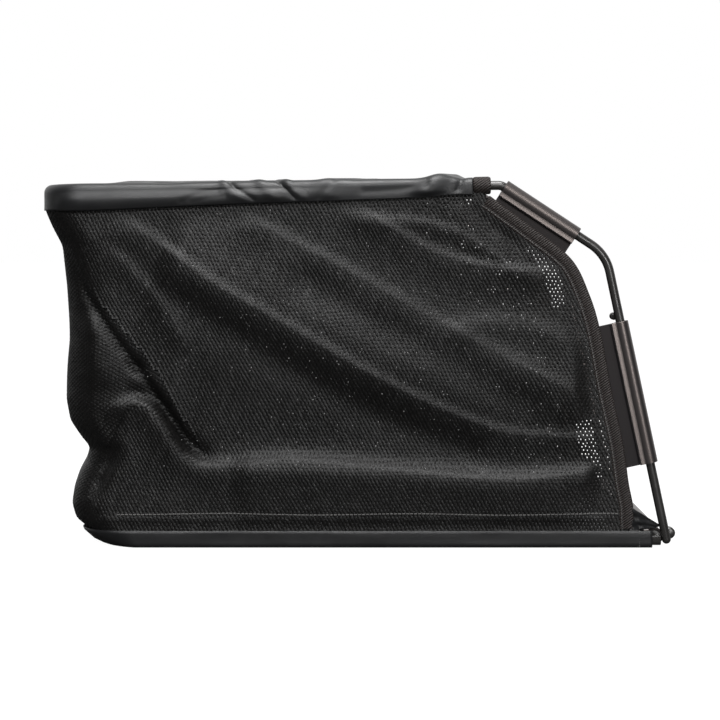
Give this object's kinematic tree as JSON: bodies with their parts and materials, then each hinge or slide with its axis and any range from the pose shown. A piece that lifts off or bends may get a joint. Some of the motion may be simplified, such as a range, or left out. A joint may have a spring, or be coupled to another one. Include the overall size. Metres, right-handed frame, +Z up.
{
  "type": "scarifier collection box",
  "caption": "Open-mouthed fabric catcher bag with net sides and back, a coated top and floor, held by push-on clips to a bent steel wire frame",
  "frame": {"origin": "middle of the underside of the bounding box, on the surface that the box rests on", "axes": "+X to the open mouth, +Y to the left hand side, +Z up"},
  "size_m": [0.491, 0.4094, 0.2904],
  "materials": {
    "painted_steel": "black satin paint on steel wire",
    "net_cloth": "black knitted net with small open holes",
    "coated_cloth": "black woven cloth with a smooth coating",
    "binding_tape": "black ribbed woven tape",
    "clip_plastic": "black extruded plastic, glossy"
  },
  "bodies": {
    "root": {"upper_frame_wire": "painted_steel", "lower_frame_wire": "painted_steel", "front_bottom_bar": "painted_steel", "front_top_bar": "painted_steel", "stop_peg_right": "painted_steel", "stop_peg_left": "painted_steel", "foot_boss_right": "painted_steel", "foot_boss_left": "painted_steel", "upper_side_clip_right": "clip_plastic", "upper_side_clip_left": "clip_plastic", "lower_side_clip_right": "clip_plastic", "lower_side_clip_left": "clip_plastic", "bottom_clip": "clip_plastic", "side_net_right": "net_cloth", "side_net_left": "net_cloth", "back_net": "net_cloth", "mouth_binding_right": "binding_tape", "mouth_binding_left": "binding_tape", "top_front_sleeve": "binding_tape", "corner_sleeve_right": "binding_tape", "corner_sleeve_left": "binding_tape", "top_cover": "coated_cloth", "bottom_panel": "coated_cloth", "bottom_gusset_right": "coated_cloth", "bottom_gusset_left": "coated_cloth"}
  },
  "joints": []
}
